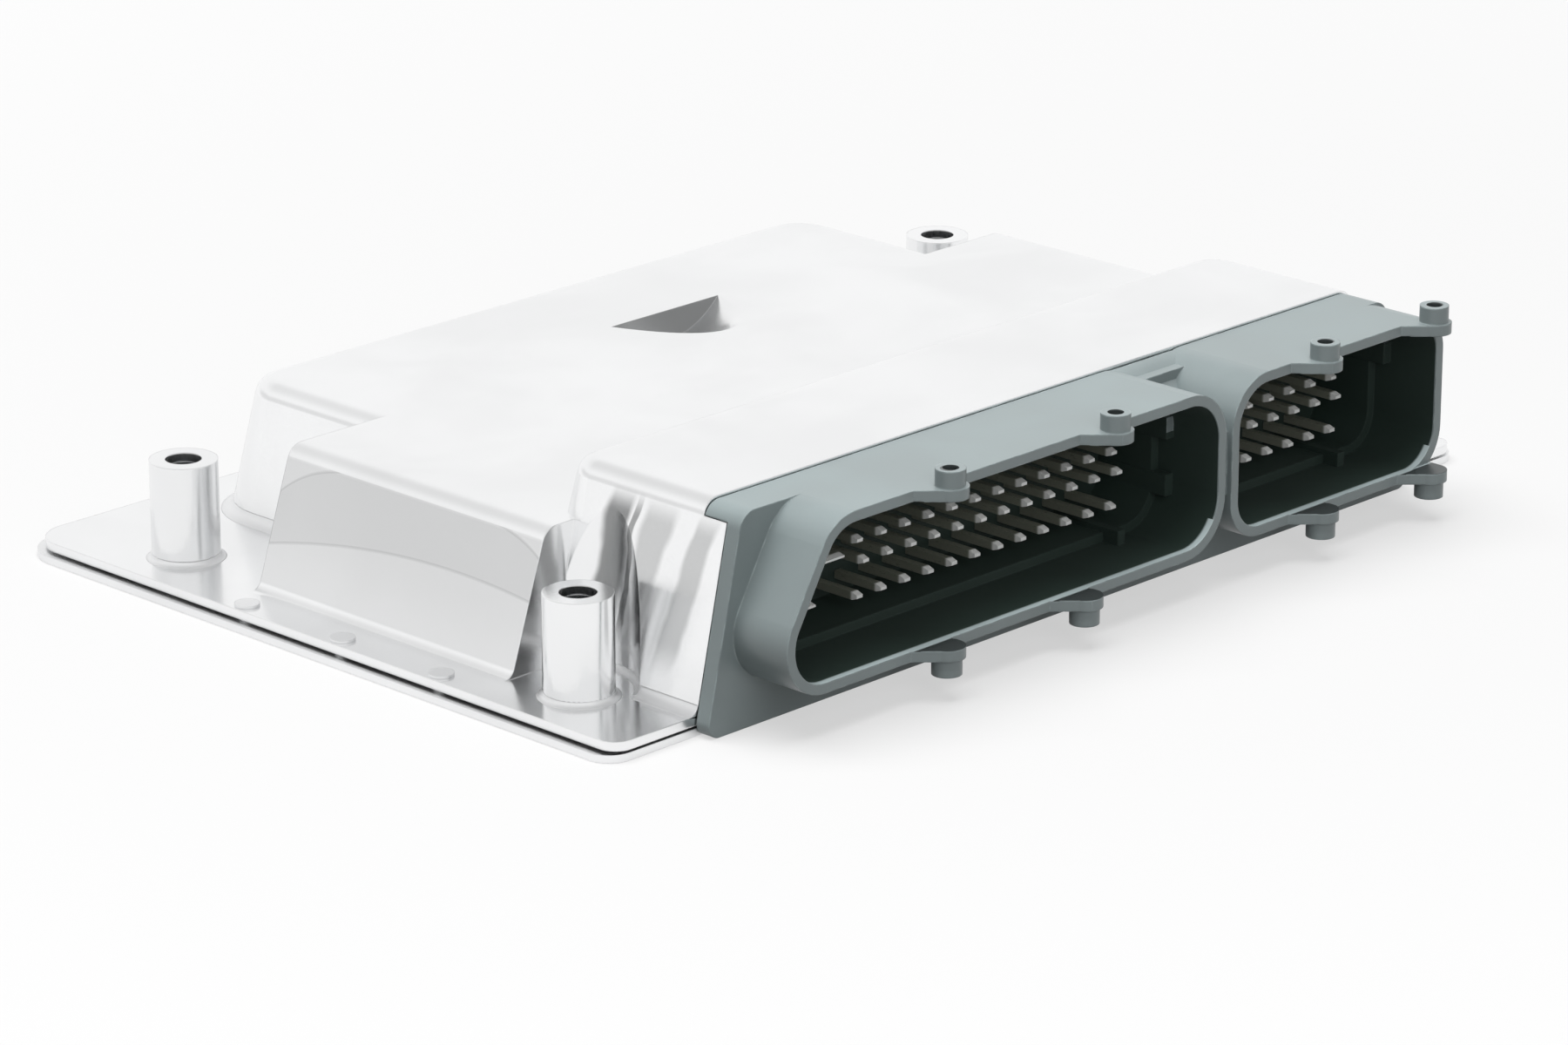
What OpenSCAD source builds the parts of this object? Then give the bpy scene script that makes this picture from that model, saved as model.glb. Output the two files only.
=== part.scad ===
// Engine control unit: drawn aluminium lid on a flat base, with a moulded two-socket header.
// Millimetres. +X runs along the header, the sockets face -Y, +Z is up, the base lies on Z = 0.
// Depths are measured back from the front rim of the sockets and shifted once by place().

/* [Pins] */
// Spacing of the signal pins along a row
pin_pitch = 5; // [4.6:0.1:5.4]
// Pin columns in the large socket
large_cols = 12; // [9:1:13]
// Pin columns in the small socket
small_cols = 7; // [5:1:9]
// Width and thickness of a signal pin
pin_w = 1.2; // [0.9:0.1:1.5]
// Set-back of the pin tips behind the rim
tip_depth = 13.3; // [10:0.1:16]
// Height between the two middle rows
row_inner = 3.4; // [3:0.1:4]
// Height from a middle row to the outer row next to it
row_outer = 5.15; // [4.6:0.05:5.6]
// Sideways shift of every second row
row_stagger = 1.3; // [0:0.1:2.4]
// Width of a power blade
blade_w = 4; // [3:0.1:4.8]
// Thickness of a power blade
blade_t = 0.8; // [0.6:0.1:1.2]

/* [Sockets] */
// Inner height of both sockets
socket_h = 22.4; // [21:0.2:24]
// Height of the sockets' centre line above the base
socket_z = 19.3; // [18.6:0.1:20.4]
// Space from the last pin column to a socket's end wall
end_margin = 8.4; // [7:0.1:10]
// Length of the large socket kept for the power blades
blade_zone = 31.5; // [29:0.5:36]
// Lean of the large socket's end wall
slant = 30.4; // [20:0.2:32]
// Space between the two sockets' inner walls
socket_gap = 4.6; // [4:0.1:7]
// Wall thickness of the shrouds
wall = 1.6; // [1.3:0.1:2]
// Depth of the sockets
socket_depth = 22.5; // [21:0.25:24]
// Thickness of the pin wall behind the sockets
floor_t = 3.5; // [3:0.1:4]
// Inward step of the sockets at the flange
socket_step = 1.4; // [1.2:0.1:1.6]
// Depth of that step
step_depth = 12; // [11:0.25:12.5]
// Length of the shrouds in front of the flange
shroud_out = 10.5; // [8:0.5:12]

/* [Plug studs] */
// Outer diameter of a plug stud
stud_d = 4.5; // [4:0.1:5.2]
// Diameter of the blind hole in a stud
stud_hole_d = 2.4; // [2:0.1:3]
// Height of a stud above its ledge
stud_h = 2.6; // [2:0.1:3.2]
// Distance of the studs in front of the rim
stud_out = 1.9; // [1.4:0.1:2.6]
// Thickness of the ledge under a stud
ledge_t = 1.7; // [1.2:0.1:2.4]
// Length of the ramp beside a stud
ramp_l = 5.5; // [4:0.5:8]

/* [Header flange] */
// Thickness of the flange plate
flange_t = 2.5; // [2:0.1:3]
// Flange edge beyond the large socket
margin_l = 2.5; // [2:0.1:4]
// Flange edge beyond the small socket
margin_r = 7.4; // [7:0.1:9]
// Depth of the top plate in front of the lid
top_plate_d = 17.5; // [16.5:0.5:19]
// Depth of the frame that fits inside the lid
frame_d = 22; // [21.5:0.1:22.4]
// Wall thickness of that frame
frame_t = 2.2; // [1.8:0.1:2.6]

/* [Housing] */
// Sheet thickness of the lid
sheet = 1.4; // [1:0.1:1.6]
// Thickness of the base plate
base_t = 1.2; // [1:0.1:1.6]
// Draft of the lid walls
draft = 12.75; // [11:0.25:14]
// Height of the low rear part of the lid
mid_top = 24; // [22:0.5:25]
// Length of the lid's high front part behind the last pin row
tall_back = 15.8; // [14:0.1:18]
// Depth of the lid's rear wall
body_end = 133; // [131:1:140]
// Outer bend radius of the lid
bend_r = 3; // [2:0.25:3.5]
// Radius of the lid's rear corners
corner_r = 12; // [11:0.5:16]
// Foot radius where the walls meet the rim
foot_r = 2; // [1:0.25:3]
// Depth where the raised side panels start
panel_y0 = 42.5; // [41:0.5:48]
// Depth where the raised side panels end
panel_y1 = 97; // [90:0.5:100]
// Foot of the side panels beyond the lid wall
panel_out = 8.2; // [7.6:0.1:8.6]
// Draft of the side panels
panel_draft = 18.6; // [17:0.2:20]
// Lid rim beyond the wall
rim_w = 15.2; // [14.9:0.1:16]
// Base plate beyond the lid rim
base_edge = 1.2; // [0.8:0.1:2]
// Thickness of the sealing bead under the rim
seal_t = 0.4; // [0.3:0.1:0.6]
// Width of the sealing bead
seal_w = 1.6; // [1.4:0.1:1.7]
// Clearance between the header frame and the lid
frame_gap = 0.2; // [0.1:0.05:0.3]

/* [Corner columns] */
// Bore for a mounting bolt
bolt_d = 5.5; // [5:0.1:6]
// Outer diameter of a spacer sleeve
sleeve_d = 7.4; // [6.8:0.1:7.6]
// Height of a column's top face
column_top = 18.5; // [16:0.5:20]
// Radius of a column
column_r = 5.2; // [5.1:0.05:5.3]
// Depth of the front columns
column_y0 = 31; // [30:0.25:32]
// Depth of the rear columns
column_y1 = 116; // [112:0.5:118]
// Radius of the scooped front corners
front_scoop_r = 12.4; // [11.8:0.1:12.6]
// Inset of the rear corners beside the columns
tail_in = 11.3; // [10.5:0.1:13]

/* [Thumb scoop] */
// Length of the scoop's straight rear edge
thumb_w = 22; // [18:0.5:30]
// Depth of the scoop at its rear edge
thumb_h = 4; // [2.5:0.25:5]
// Sideways place of the scoop
thumb_x = 7.7; // [-20:0.1:30]
// Depth of the scoop's rear edge
thumb_y = 105; // [80:1:115]
// Rise of the scoop's bottom towards the front
thumb_tilt = 20; // [14:1:22]

/* [Circuit board] */
// Board thickness
board_t = 1.6; // [1.2:0.2:2]
// Height of the board's underside
board_z = 6; // [5.6:0.1:6.4]
// Board width at the header
board_w = 133; // [131:0.5:134]
// Board width behind the side panels
board_tail_w = 122; // [112:1:123]
// Space between the header and the board's front edge
board_gap = 1; // [0.6:0.1:1.4]
// Depth of the board's rear edge
board_y1 = 126; // [122:1:128]
// Space around a pin in its hole
pin_fit = 0.05; // [0:0.01:0.1]

/* [Board parts] */
// Side of the microcontroller
mcu_w = 26; // [22:0.5:28]
// Length of the memory chip
memory_l = 18; // [16:0.5:20]
// Width of the memory chip
memory_w = 11; // [9:0.5:12]
// Length of a driver chip
driver_l = 14; // [13:0.5:15]
// Width of a driver chip
driver_w = 9; // [8:0.5:10]
// Spacing of the driver chips
driver_pitch = 14; // [13.5:0.25:14.5]
// Width of a power package
power_w = 10; // [9:0.25:11]
// Spacing of the ignition transistors
power_pitch = 13; // [12.5:0.25:13.5]
// Diameter of a buffer capacitor
capacitor_d = 10; // [8:0.5:11]
// Height of a buffer capacitor
capacitor_h = 9.5; // [8:0.5:10]
// Side of the inductor
inductor_w = 12; // [10:0.5:12.5]
// Spacing of the chips' leads
lead_pitch = 1.27; // [1.2:0.01:1.3]

/* [Hidden] */
$fn = 48;
eps = 0.01;
k = tan(draft);
sec = 1 / cos(draft);
panel_k = tan(panel_draft);
large_w = (large_cols - 1) * pin_pitch + end_margin + blade_zone;
small_w = (small_cols - 1) * pin_pitch + 2 * end_margin;
body_half = (large_w + socket_gap + small_w + margin_l + margin_r) / 2;
large_x0 = margin_l - body_half;
large_x1 = large_x0 + large_w;
small_x0 = large_x1 + socket_gap;
small_x1 = small_x0 + small_w;
plate_z = socket_z + socket_h / 2 + wall;
lid_top = plate_z + 0.4;
rim_z = base_t + seal_t;
panel_half = body_half + panel_out;
tail_half = body_half - tail_in;
rim_half = body_half + rim_w;
rim_y1 = body_end + rim_w / 2;
base_half = rim_half + base_edge;
base_y1 = rim_y1 + base_edge;
flange_y = shroud_out;
lid_y0 = flange_y + flange_t + frame_gap;
ledge_r = stud_d / 2 + 0.5;
place_y = (base_y1 - stud_out - ledge_r) / 2;
rear_y = socket_depth + floor_t;
board_y0 = rear_y + board_gap;
groove_y0 = frame_d - 3.4;
groove_y1 = frame_d - 1.6;
groove_d = 0.9;
board_top = board_z + board_t;
column_x = body_half + 4.9;
pocket_x = column_x + 1.3;
pocket_y = column_y0 + 4;
sleeve_top = column_top - sheet;
large_pin_x = large_x1 - end_margin;
small_pin_x = small_x1 - end_margin;
rib_h = 1.6;
rib_y = 9;
row_mid = socket_z - 0.25;
row_z = [row_mid + row_inner / 2 + row_outer, row_mid + row_inner / 2,
         row_mid - row_inner / 2, row_mid - row_inner / 2 - row_outer];
row_shift = [row_stagger, 0, row_stagger, 0];
bend_step = 2.8;
row_bend = [for (i = [4:-1:1]) rear_y + i * bend_step];
tall_end = row_bend[0] + tall_back;
pin_end = board_z - 1.4;
blade_x = large_pin_x - large_cols * pin_pitch;
blades = [[blade_x - 0.2, 0], [blade_x - 8.2, 0], [blade_x - 6.1, 1], [blade_x - 14.1, 1]];
blade_z = [row_mid + 0.1, row_mid - 5.9];
blade_bend = [row_bend[1], row_bend[3]];
stud_top_x = [large_x0 + 33.9, large_x0 + 69.1, small_x0 + 17.2, small_x1 - 3.4];
stud_low_x = [large_x0 + 33.5, large_x0 + 63, small_x0 + 17.4, small_x1 - 3.2];
rivet_x = rim_half - 2.3;
rivet_y = body_end + 4.2;
rivet_r = 1.25;
rivet_fit = 0.1;
head_r = 1.9;
head_h = 0.4;
rear_rivet_x = [-48, 0, 48];
side_rivet_y = [51, 72, 93];
seal_x = column_x + column_r + 0.6;
seal_y = body_end + 0.2;
posts = [[60, 50], [55, 119]];
post_foot_d = 3;
lug_x = (large_x1 + small_x0) / 2;
lug_w = 14;
lug_d = 9;
lug_h = 5.5;
lug_screws = [[lug_x - 4, rear_y + 5], [lug_x + 4, rear_y + 5]];
thread_r = 1.2;
chip_pad_h = 1.4;
mcu_at = [0, 80];
memory_at = [-28, 70];
driver_at = [-26, 104];
transistor_at = [33.5, 106];
capacitor_at = [26.5, 54];
inductor_at = [48, 54];
regulator_at = [46, 70];
interface_at = [[-52, 58], [-42, 58]];
crystal_at = [21, 70];
diode_at = [58, 84];
filter_at = [-44, 49];
filter_pitch = 6.4;
press_d = 18;
emboss = [[driver_at[0], driver_at[1], 2 * driver_pitch + press_d, press_d],
          [transistor_at[0], transistor_at[1], 3 * power_pitch + 15, press_d]];
bead_r = 3;
emboss_h = board_z - chip_pad_h - base_t;

lid();
base_plate();
connector_header();
header_seal();
lid_seal();
circuit_board();
large_pins_top();
large_pins_upper();
large_pins_lower();
large_pins_bottom();
small_pins_top();
small_pins_upper();
small_pins_lower();
small_pins_bottom();
power_blades();
spacer_sleeves();
lid_rivets();
board_posts();
board_screws();
header_screws();
microcontroller();
memory_chip();
driver_chips();
ignition_transistors();
voltage_regulator();
interface_chips();
crystal();
buffer_capacitors();
inductor();
filter_capacitors();
suppressor_diode();
thermal_pads();

// Shared shapes

module place() translate([0, -place_y, 0]) children();

// An X-Z outline drawn from depth y0 back to depth y1.
module along_y(y0, y1) translate([0, y1, 0]) rotate([90, 0, 0]) linear_extrude(y1 - y0) children();

// A Y-Z outline drawn w wide about X = 0.
module across_x(w) translate([-w / 2, 0, 0]) rotate([90, 0, 90]) linear_extrude(w) children();

module box(x0, x1, y0, y1, z0, z1) translate([x0, y0, z0]) cube([x1 - x0, y1 - y0, z1 - z0]);

function unit(v) = v / norm(v);
function outward(d) = [d[1], -d[0]];
function arc_centre(a, p, b, r) =
    let (u = unit(a - p), v = unit(b - p))
    p + unit(u + v) * r / sin(acos(u * v) / 2);

// A convex outline with true arcs at its corners, moved outward by grow.
module rounded(pts, radii, grow = 0) {
    n = len(pts);
    c = [for (i = [0:n - 1]) arc_centre(pts[(i + n - 1) % n], pts[i], pts[(i + 1) % n], radii[i])];
    polygon([for (i = [0:n - 1], d = [pts[i] - pts[(i + n - 1) % n], pts[(i + 1) % n] - pts[i]])
        c[i] + (radii[i] + grow) * outward(unit(d))]);
    for (i = [0:n - 1]) translate(c[i]) circle(r = radii[i] + grow);
}

module mirrored() {
    children();
    mirror([1, 0, 0]) children();
}

// Lid

// Half section of a drafted wall: r out at the floor, h high, bent over with radius b, leaning by q.
module wall_section(r, h, b, q = k) {
    s = sqrt(1 + q * q);
    cz = h - b;
    cx = r - q * cz - b * s;
    polygon([[0, 0], [r, 0], [cx + b / s, cz + b * q / s], [cx, h], [0, h]]);
    translate([cx, cz]) intersection() {
        circle(r = b);
        polygon([[0, 0], [2 * b, 2 * b * q], [2 * b, 2 * b], [0, 2 * b]]);
    }
}

// The concave foot radius of that wall on the rim.
module foot_section(r, q = k) {
    s = sqrt(1 + q * q);
    z0 = rim_z + sheet;
    cz = z0 + foot_r;
    cx = r - q * cz + foot_r * s;
    difference() {
        polygon([[r - q * z0 - sheet / 2, z0 - sheet / 2], [cx, z0 - sheet / 2], [cx, z0],
                 [cx - foot_r / s, cz - foot_r * q / s]]);
        translate([cx, cz]) circle(r = foot_r);
    }
}

// A drafted block from depth y0 back to y1 with two rounded rear corners, moved inward by o.
module drafted_block(half, y0, y1, h, o = 0) {
    r = corner_r - o * sec;
    cx = half - corner_r;
    cy = y1 - corner_r;
    mirrored() {
        translate([cx, 0, 0]) along_y(y0, cy) wall_section(r, h - o, bend_r - o);
        translate([cx, cy, 0]) rotate_extrude(angle = 90) wall_section(r, h - o, bend_r - o);
    }
    translate([0, cy, 0]) across_x(2 * cx) wall_section(r, h - o, bend_r - o);
    box(-cx, cx, y0, cy, 0, h - o);
}

// The wide middle of the lid, whose side panels end in crisp upright edges.
module panel_block(o = 0) {
    cx = panel_half - corner_r;
    mirrored() translate([cx, 0, 0]) along_y(panel_y0 + o, panel_y1 - o)
        wall_section(corner_r - o / cos(panel_draft), mid_top - o, bend_r - o, panel_k);
    box(-cx, cx, panel_y0 + o, panel_y1 - o, 0, mid_top - o);
}

// Foot radii along the panels and the rear wall.
module feet() {
    mirrored() along_y(panel_y0, panel_y1) foot_section(panel_half, panel_k);
    across_x(2 * (tail_half - corner_r)) foot_section(body_end);
}

// Upright scoops in the front corners, which leave room around the columns.
module scoops(r) {
    mirrored() translate([pocket_x, pocket_y, -1]) cylinder(h = lid_top + 4, r = r);
}

module columns(o = 0) {
    at_columns() cylinder(h = column_top - o, r = column_r - o);
}

// The half-moon scoop in the top: a tilted round bottom against a straight rear edge.
module thumb_scoop(o = 0) {
    r = (thumb_w * thumb_w / 4 + thumb_h * thumb_h) / (2 * thumb_h);
    intersection() {
        translate([thumb_x, thumb_y, mid_top - thumb_h + r]) rotate([90 - thumb_tilt, 0, 0])
            translate([0, 0, -20]) cylinder(h = 60, r = r + o, $fn = 96);
        box(thumb_x - thumb_w, thumb_x + thumb_w, tall_end + 5, thumb_y + o,
            mid_top - 2 * thumb_h, mid_top + 5);
    }
}

module lid_form(o = 0) {
    difference() {
        drafted_block(body_half, lid_y0 - eps, tall_end, lid_top, o);
        scoops(front_scoop_r + o);
    }
    difference() {
        union() {
            panel_block(o);
            drafted_block(tail_half, panel_y0 + 2, body_end, mid_top, o);
        }
        thumb_scoop(o);
    }
    columns(o);
}

module rim_outline() {
    rounded([[-rim_half, lid_y0], [rim_half, lid_y0], [rim_half, rim_y1], [-rim_half, rim_y1]],
        [3, 3, 6, 6]);
}

module lid() color("gainsboro") place() difference() {
    union() {
        lid_form(0);
        feet();
        translate([0, 0, rim_z]) linear_extrude(sheet) rim_outline();
    }
    lid_form(sheet);
    box(-base_half, base_half, 0, base_y1, -1, rim_z);
    box(-body_half, body_half, 0, top_plate_d + frame_gap, plate_z - 2, lid_top + 1);
    box(-rim_half, rim_half, 0, lid_y0, -1, lid_top + 1);
    at_columns() cylinder(h = column_top + 1, d = bolt_d);
    at_rivets() translate([0, 0, rim_z - 1]) cylinder(h = sheet + 2, r = rivet_r + rivet_fit);
}

module at_columns() {
    mirrored() for (y = [column_y0, column_y1]) translate([column_x, y, 0]) children();
}

module at_rivets() {
    mirrored() for (y = side_rivet_y) translate([rivet_x, y, 0]) children();
    for (x = rear_rivet_x) translate([x, rivet_y, 0]) children();
}

// Base plate with pressed pads under the power chips and stiffening beads.

module base_plate() color("silver") place() difference() {
    union() {
        linear_extrude(base_t)
            rounded([[-base_half, lid_y0], [base_half, lid_y0], [base_half, base_y1],
                [-base_half, base_y1]], [4, 4, 7, 7]);
        for (e = emboss) translate([0, 0, base_t - eps])
            linear_extrude(emboss_h + eps) pad_outline(e, 0);
    }
    for (e = emboss) translate([0, 0, -eps]) linear_extrude(emboss_h) pad_outline(e, -base_t);
    at_columns() translate([0, 0, -1]) cylinder(h = base_t + 2, d = bolt_d);
    at_rivets() translate([0, 0, -1]) cylinder(h = base_t + 2, r = rivet_r);
    at_posts() translate([0, 0, -1]) cylinder(h = base_t + 2, d = post_foot_d);
    for (y = [column_y0 - 4, body_end - 10]) translate([0, y, 0]) bead(2 * column_x - 70);
}

module at_posts() mirrored() for (p = posts) translate([p[0], p[1], 0]) children();

module pad_outline(e, g) {
    translate([e[0], e[1]]) rounded([[-e[2], -e[3]] / 2, [e[2], -e[3]] / 2, [e[2], e[3]] / 2,
        [-e[2], e[3]] / 2], [4, 4, 4, 4], g);
}

// A shallow stiffening bead in the underside.
module bead(l) rotate([0, 90, 0]) translate([bead_r - base_t / 3, 0, -l / 2]) cylinder(h = l, r = bead_r);

// Header

module large_outline(g) {
    t = socket_h * tan(slant);
    translate([0, socket_z]) rounded([[large_x0, -socket_h / 2], [large_x1, -socket_h / 2],
        [large_x1, socket_h / 2], [large_x0 + t, socket_h / 2]], [6, 7, 6.5, 6], g);
}

module small_outline(g) {
    translate([0, socket_z]) rounded([[small_x0, -socket_h / 2], [small_x1, -socket_h / 2],
        [small_x1, socket_h / 2], [small_x0, socket_h / 2]], [5, 6, 4.2, 6.5], g);
}

module sockets(y0, y1, g) along_y(y0, y1) {
    large_outline(g);
    small_outline(g);
}

module flange_outline() {
    rounded([[-body_half, 0], [body_half, 0], [body_half - k * plate_z, plate_z],
        [k * plate_z - body_half, plate_z]], [2, 2, 3, 3]);
}

// The opening of the lid at its front, moved inward by g.
module frame_outline(g) {
    half = body_half - (sheet + g) * sec;
    z0 = rim_z + max(g - frame_gap, 0);
    z1 = lid_top - sheet - g;
    rounded([[k * z0 - half, z0], [half - k * z0, z0], [half - k * z1, z1], [k * z1 - half, z1]],
        [0.5, 0.5, bend_r - sheet, bend_r - sheet]);
}

// The groove between the two shrouds.
module valley() {
    difference() {
        translate([large_x1 - 7, socket_z + 5]) square([socket_gap + 14, socket_h]);
        large_outline(wall);
        small_outline(wall);
    }
}

// A plug stud on its ledge: the ramp runs towards -X.
module stud_ledge() {
    linear_extrude(ledge_t) {
        translate([0, -stud_out]) circle(r = ledge_r);
        polygon([[-ramp_l, 0.6], [-ramp_l, 0], [-1.2, -stud_out - ledge_r + 0.25], [ledge_r, -stud_out],
            [ledge_r, 0.6]]);
    }
    translate([0, -stud_out, ledge_t - eps]) difference() {
        cylinder(h = stud_h + eps, d = stud_d);
        translate([0, 0, 0.4]) cylinder(h = stud_h, d = stud_hole_d);
    }
}

module studs() {
    for (x = stud_top_x) translate([x, 0, plate_z - ledge_t]) stud_ledge();
    for (x = stud_low_x) translate([x, 0, 2 * socket_z - plate_z + ledge_t]) mirror([0, 0, 1]) stud_ledge();
}

// Guide ribs inside the sockets, which key the plugs.
module guide_ribs() {
    low = socket_z - socket_h / 2;
    for (r = [[large_x1, 4.6], [large_x1, -4.4], [small_x1, 4.7]])
        box(r[0] - rib_h, r[0] + 1, rib_y, socket_depth, socket_z + r[1] - 1.7, socket_z + r[1] + 1.7);
    for (x = [large_x0 + 12, large_pin_x - 3, small_pin_x - 3])
        box(x - 0.8, x + 0.8, rib_y, socket_depth, low - 0.5, low + rib_h + 0.6);
}

module at_large_pins(row) for (i = [0:large_cols - 1])
    translate([large_pin_x + row_shift[row] - i * pin_pitch, 0, 0]) children();

module at_small_pins(row) for (i = [0:small_cols - 1])
    translate([small_pin_x + row_shift[row] - i * pin_pitch, 0, 0]) children();

module at_pins(row) {
    at_large_pins(row) children();
    at_small_pins(row) children();
}

module pin_openings() {
    w = pin_w / 2 + pin_fit;
    for (row = [0:3]) at_pins(row) box(-w, w, socket_depth - 1, rear_y + 1, row_z[row] - w, row_z[row] + w);
    for (b = blades) translate([b[0], 0, blade_z[b[1]]])
        box(-blade_w / 2 - pin_fit, blade_w / 2 + pin_fit, socket_depth - 1, rear_y + 1,
            -blade_t / 2 - pin_fit, blade_t / 2 + pin_fit);
}

module connector_header() color("dimgray") place() {
    difference() {
        union() {
            sockets(0, flange_y + flange_t, wall);
            intersection() {
                sockets(flange_y, rear_y, wall - socket_step);
                along_y(flange_y, rear_y) frame_outline(frame_gap);
            }
            along_y(1, flange_y + flange_t) translate([large_x1 + wall / 2, socket_z - 5])
                square([socket_gap - wall, 10]);
            difference() {
                union() {
                    along_y(flange_y, flange_y + flange_t) flange_outline();
                    intersection() {
                        along_y(flange_y, top_plate_d) flange_outline();
                        box(-body_half, body_half, 0, rear_y, plate_z - 1.9, plate_z);
                    }
                }
                along_y(flange_y - 1, top_plate_d) valley();
            }
            along_y(flange_y + flange_t - eps, frame_d) difference() {
                frame_outline(frame_gap);
                frame_outline(frame_gap + frame_t);
            }
            box(large_x1 - 7, small_x0 + 7, top_plate_d, top_plate_d + 2, socket_z,
                lid_top - sheet - frame_gap);
            studs();
            box(lug_x - lug_w / 2, lug_x + lug_w / 2, rear_y - 1, rear_y + lug_d,
                board_top, board_top + lug_h);
        }
        difference() {
            union() {
                sockets(-1, step_depth, 0);
                sockets(step_depth - 1, socket_depth, -socket_step);
            }
            guide_ribs();
        }
        pin_openings();
        along_y(groove_y0, groove_y1) difference() {
            frame_outline(-1);
            frame_outline(frame_gap + groove_d);
        }
        for (p = lug_screws) translate([p[0], p[1], board_top - 1]) cylinder(h = lug_h, r = thread_r);
    }
}

// Seals

module header_seal() color("black") place() along_y(groove_y0, groove_y1) difference() {
    frame_outline(eps);
    frame_outline(frame_gap + groove_d);
}

module lid_seal() color("black") place() translate([0, 0, base_t]) linear_extrude(seal_t) difference() {
    seal_outline(0);
    seal_outline(-seal_w);
}

module seal_outline(g) {
    y0 = groove_y0 - 3.1;
    rounded([[-seal_x, y0], [seal_x, y0], [seal_x, seal_y], [-seal_x, seal_y]], [4, 4, 5, 5], g);
}

// Pins and blades: straight through the header, then bent down into the board

module bent_pin(z, y, w, t) {
    tip = t / 5;
    across_x(w) polygon([[tip_depth, z - tip], [tip_depth + 1, z - t / 2], [y - t / 2, z - t / 2],
        [y - t / 2, pin_end], [y + t / 2, pin_end], [y + t / 2, z + t / 2], [tip_depth + 1, z + t / 2],
        [tip_depth, z + tip]]);
}

module signal_pin(row) bent_pin(row_z[row], row_bend[row], pin_w, pin_w);

module large_row(row) color("darkkhaki") place() at_large_pins(row) signal_pin(row);

module small_row(row) color("darkkhaki") place() at_small_pins(row) signal_pin(row);

module large_pins_top() large_row(0);
module large_pins_upper() large_row(1);
module large_pins_lower() large_row(2);
module large_pins_bottom() large_row(3);
module small_pins_top() small_row(0);
module small_pins_upper() small_row(1);
module small_pins_lower() small_row(2);
module small_pins_bottom() small_row(3);

module power_blades() color("silver") place() {
    for (b = blades) translate([b[0], 0, 0]) bent_pin(blade_z[b[1]], blade_bend[b[1]], blade_w, blade_t);
}

// Fasteners

module spacer_sleeves() color("lightgray") place() {
    at_columns() translate([0, 0, base_t]) difference() {
        cylinder(h = sleeve_top - base_t, d = sleeve_d);
        translate([0, 0, -1]) cylinder(h = sleeve_top, d = bolt_d);
    }
}

// A pan-head screw with a six-lobed recess, its head standing on Z = 0.
module pan_screw(l, r, hr, hh) {
    difference() {
        union() {
            translate([0, 0, -l]) cylinder(h = l + eps, r = r);
            cylinder(h = hh * 0.6, r = hr);
            translate([0, 0, hh * 0.6 - eps]) cylinder(h = hh * 0.4, r1 = hr, r2 = hr * 0.75);
        }
        translate([0, 0, hh * 0.4]) {
            cylinder(h = hh, r = hr * 0.42);
            for (a = [0, 60, 120]) rotate([0, 0, a])
                translate([-hr * 0.55, -hr * 0.1, 0]) cube([hr * 1.1, hr * 0.2, hh]);
        }
    }
}

// Flat rivets that close the lid, flush with the base's underside.
module lid_rivets() color("lightgray") place() at_rivets() {
    cylinder(h = rim_z + sheet + eps, r = rivet_r);
    translate([0, 0, rim_z + sheet]) cylinder(h = head_h, r = head_r);
}

// Clinch posts pressed into the base under the board.
module board_posts() color("lightgray") place() at_posts() difference() {
    union() {
        cylinder(h = base_t + eps, d = post_foot_d);
        translate([0, 0, base_t]) cylinder(h = board_z - base_t, d = 2 * post_foot_d);
    }
    translate([0, 0, 0.8]) cylinder(h = board_z, r = 1);
}

module board_screws() color("gray") place() {
    at_posts() translate([0, 0, board_top]) pan_screw(board_t + 3.4, 1, 2.4, 1.6);
}

module header_screws() color("gray") place() {
    for (p = lug_screws) translate([p[0], p[1], board_z]) mirror([0, 0, 1])
        pan_screw(board_t + 4, thread_r, 2.2, 1.6);
}

// Circuit board and its parts

module board_outline() {
    for (b = [[board_w / 2, board_y0, panel_y1 - 3.5, 3], [board_tail_w / 2, panel_y0, board_y1, 6]])
        rounded([[-b[0], b[1]], [b[0], b[1]], [b[0], b[2]], [-b[0], b[2]]], [3, 3, b[3], b[3]]);
}

module circuit_board() color("darkgreen") place() difference() {
    translate([0, 0, board_z]) linear_extrude(board_t) board_outline();
    translate([0, 0, board_z - 1]) linear_extrude(board_t + 2) {
        for (row = [0:3]) at_pins(row) translate([0, row_bend[row]]) circle(r = pin_w * 0.76);
        for (b = blades) translate([b[0], blade_bend[b[1]]])
            square([blade_w + 0.2, blade_t + 0.2], center = true);
        at_posts() circle(r = 1.2);
        for (p = lug_screws) translate(p) circle(r = thread_r + 0.2);
    }
}

// A moulded chip with n gull-wing leads along each side of length l.
module chip_side(l, w, n, pitch) {
    for (i = [0:n - 1]) translate([(i - (n - 1) / 2) * pitch, 0, 0]) {
        box(-0.18, 0.18, w / 2 - eps, w / 2 + 1, 1, 1.25);
        box(-0.18, 0.18, w / 2 + 0.75, w / 2 + 1, 0, 1.25);
        box(-0.18, 0.18, w / 2 + 0.75, w / 2 + 1.6, 0, 0.25);
    }
}

module chip(l, w, h, n, pitch, sides = 2) {
    box(-l / 2, l / 2, -w / 2, w / 2, 0.15, h);
    for (a = [0, 180]) rotate([0, 0, a]) chip_side(l, w, n, pitch);
    if (sides == 4) for (a = [90, 270]) rotate([0, 0, a]) chip_side(w, l, n, pitch);
}

module on_board(p) translate([p[0], p[1], board_top]) children();

module microcontroller() color("darkslategray") place() on_board(mcu_at)
    chip(mcu_w, mcu_w, 3.4, 18, lead_pitch, 4);

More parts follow.
